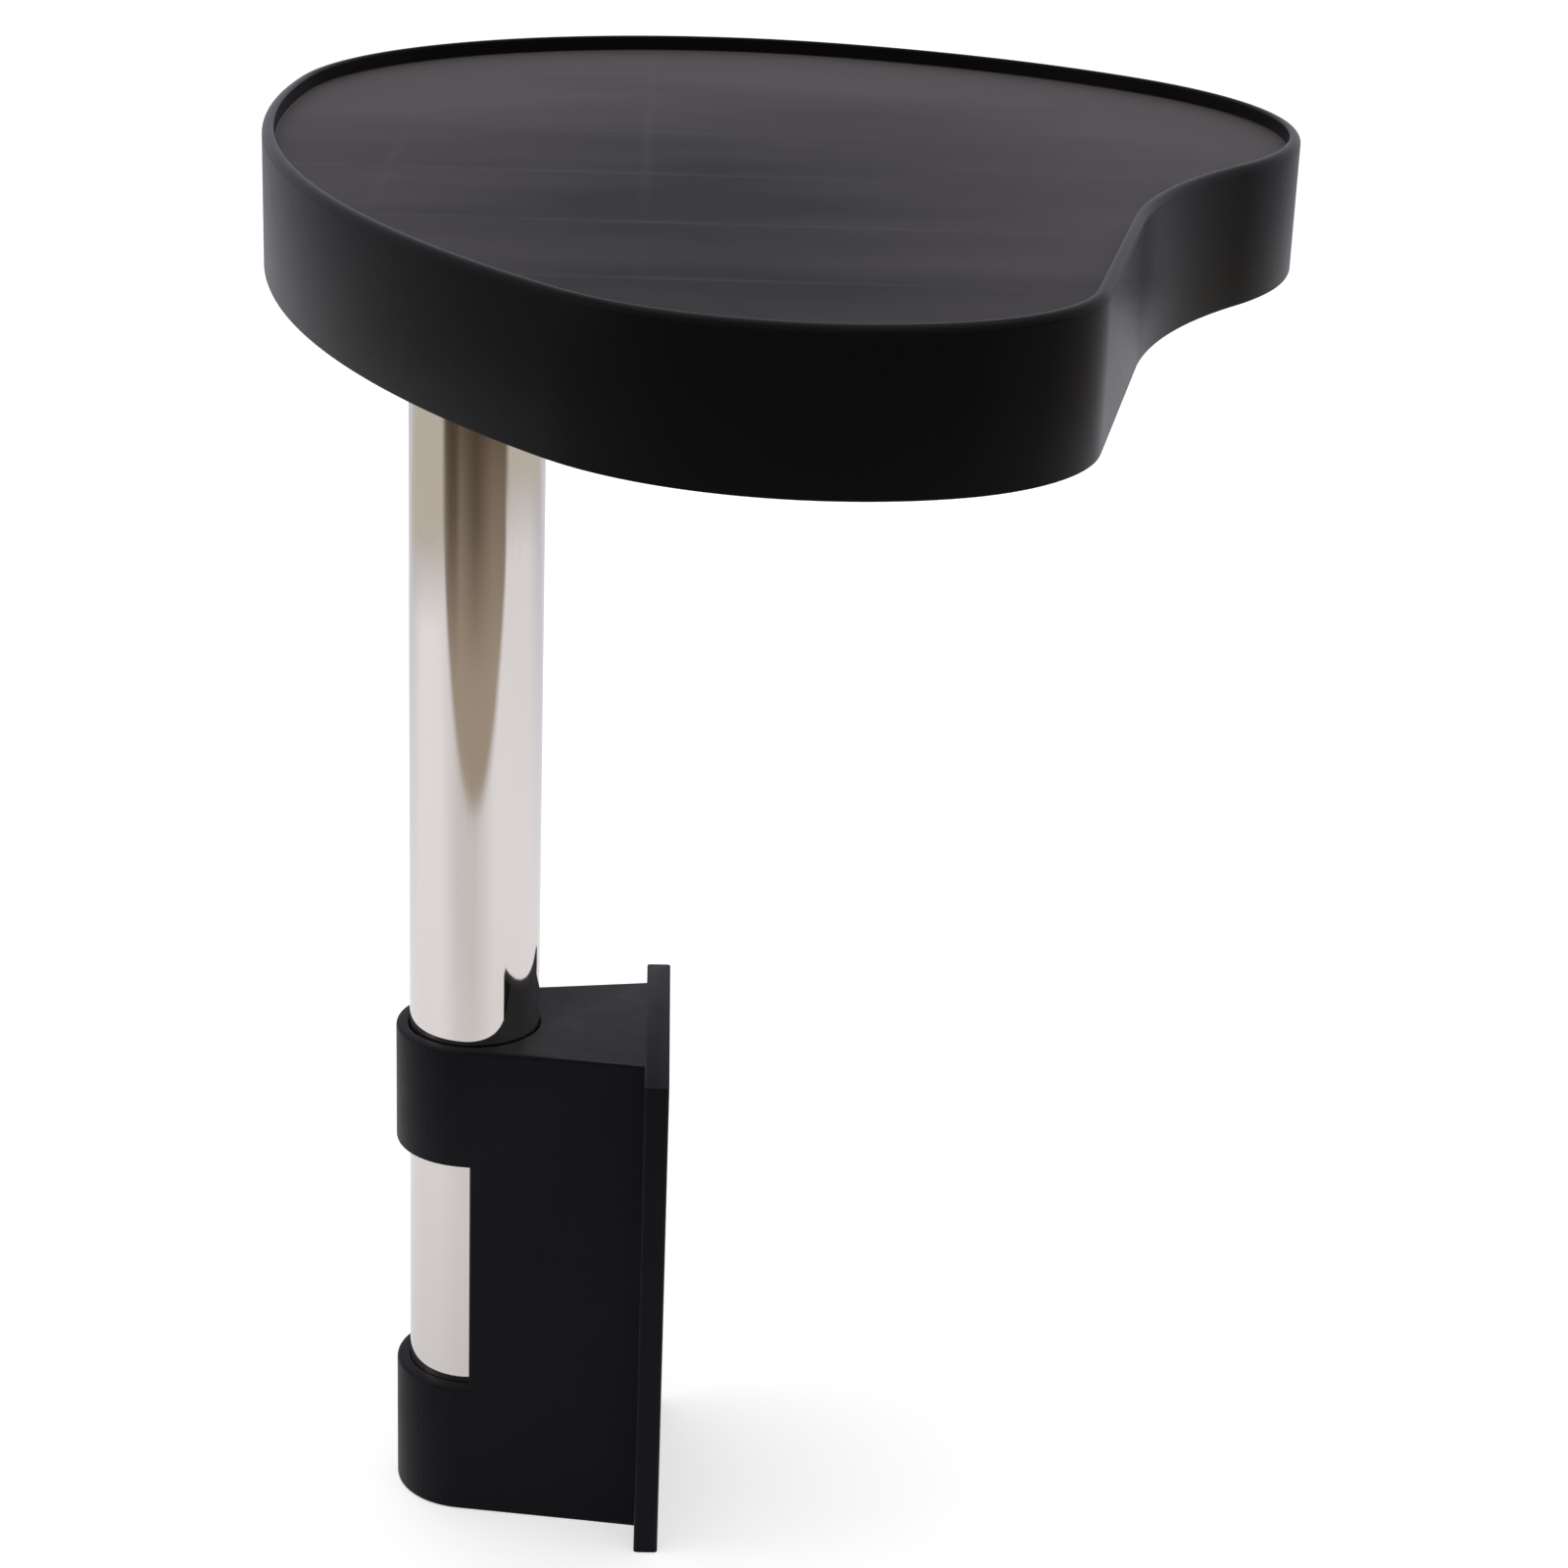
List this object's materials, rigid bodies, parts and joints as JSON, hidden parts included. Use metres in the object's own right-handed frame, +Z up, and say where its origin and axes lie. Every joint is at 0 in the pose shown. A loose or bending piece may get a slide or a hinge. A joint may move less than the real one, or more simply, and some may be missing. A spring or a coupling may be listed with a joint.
{
  "type": "hot tub tray",
  "caption": "Kidney-shaped tray with a raised lip on a polished post that turns in a black bracket fixed to a hot tub's side.",
  "frame": {"origin": "middle of the bracket's back face, where it meets the tub's side", "axes": "+Z up along the post, +X out of the bracket's back into the tub's side, -Y the side the picture was taken from"},
  "size_m": [0.3927, 0.58, 0.549],
  "materials": {
    "bracket_plastic": "satin black",
    "polished_steel": "polished stainless steel",
    "foot_plastic": "matt black",
    "tray_plastic": "matt black",
    "screw_steel": "plain stainless steel"
  },
  "bodies": {
    "bracket_body": {"bracket": "bracket_plastic"},
    "tray_body": {"post": "polished_steel", "post_foot": "foot_plastic", "tray": "tray_plastic", "socket_screws": "screw_steel"}
  },
  "joints": [
    {"name": "post_swivel", "type": "hinge", "parent": "bracket_body", "child": "tray_body", "pos_m": [-0.077, 0, 0], "axis": [0, 0, 1], "continuous": true}
  ]
}
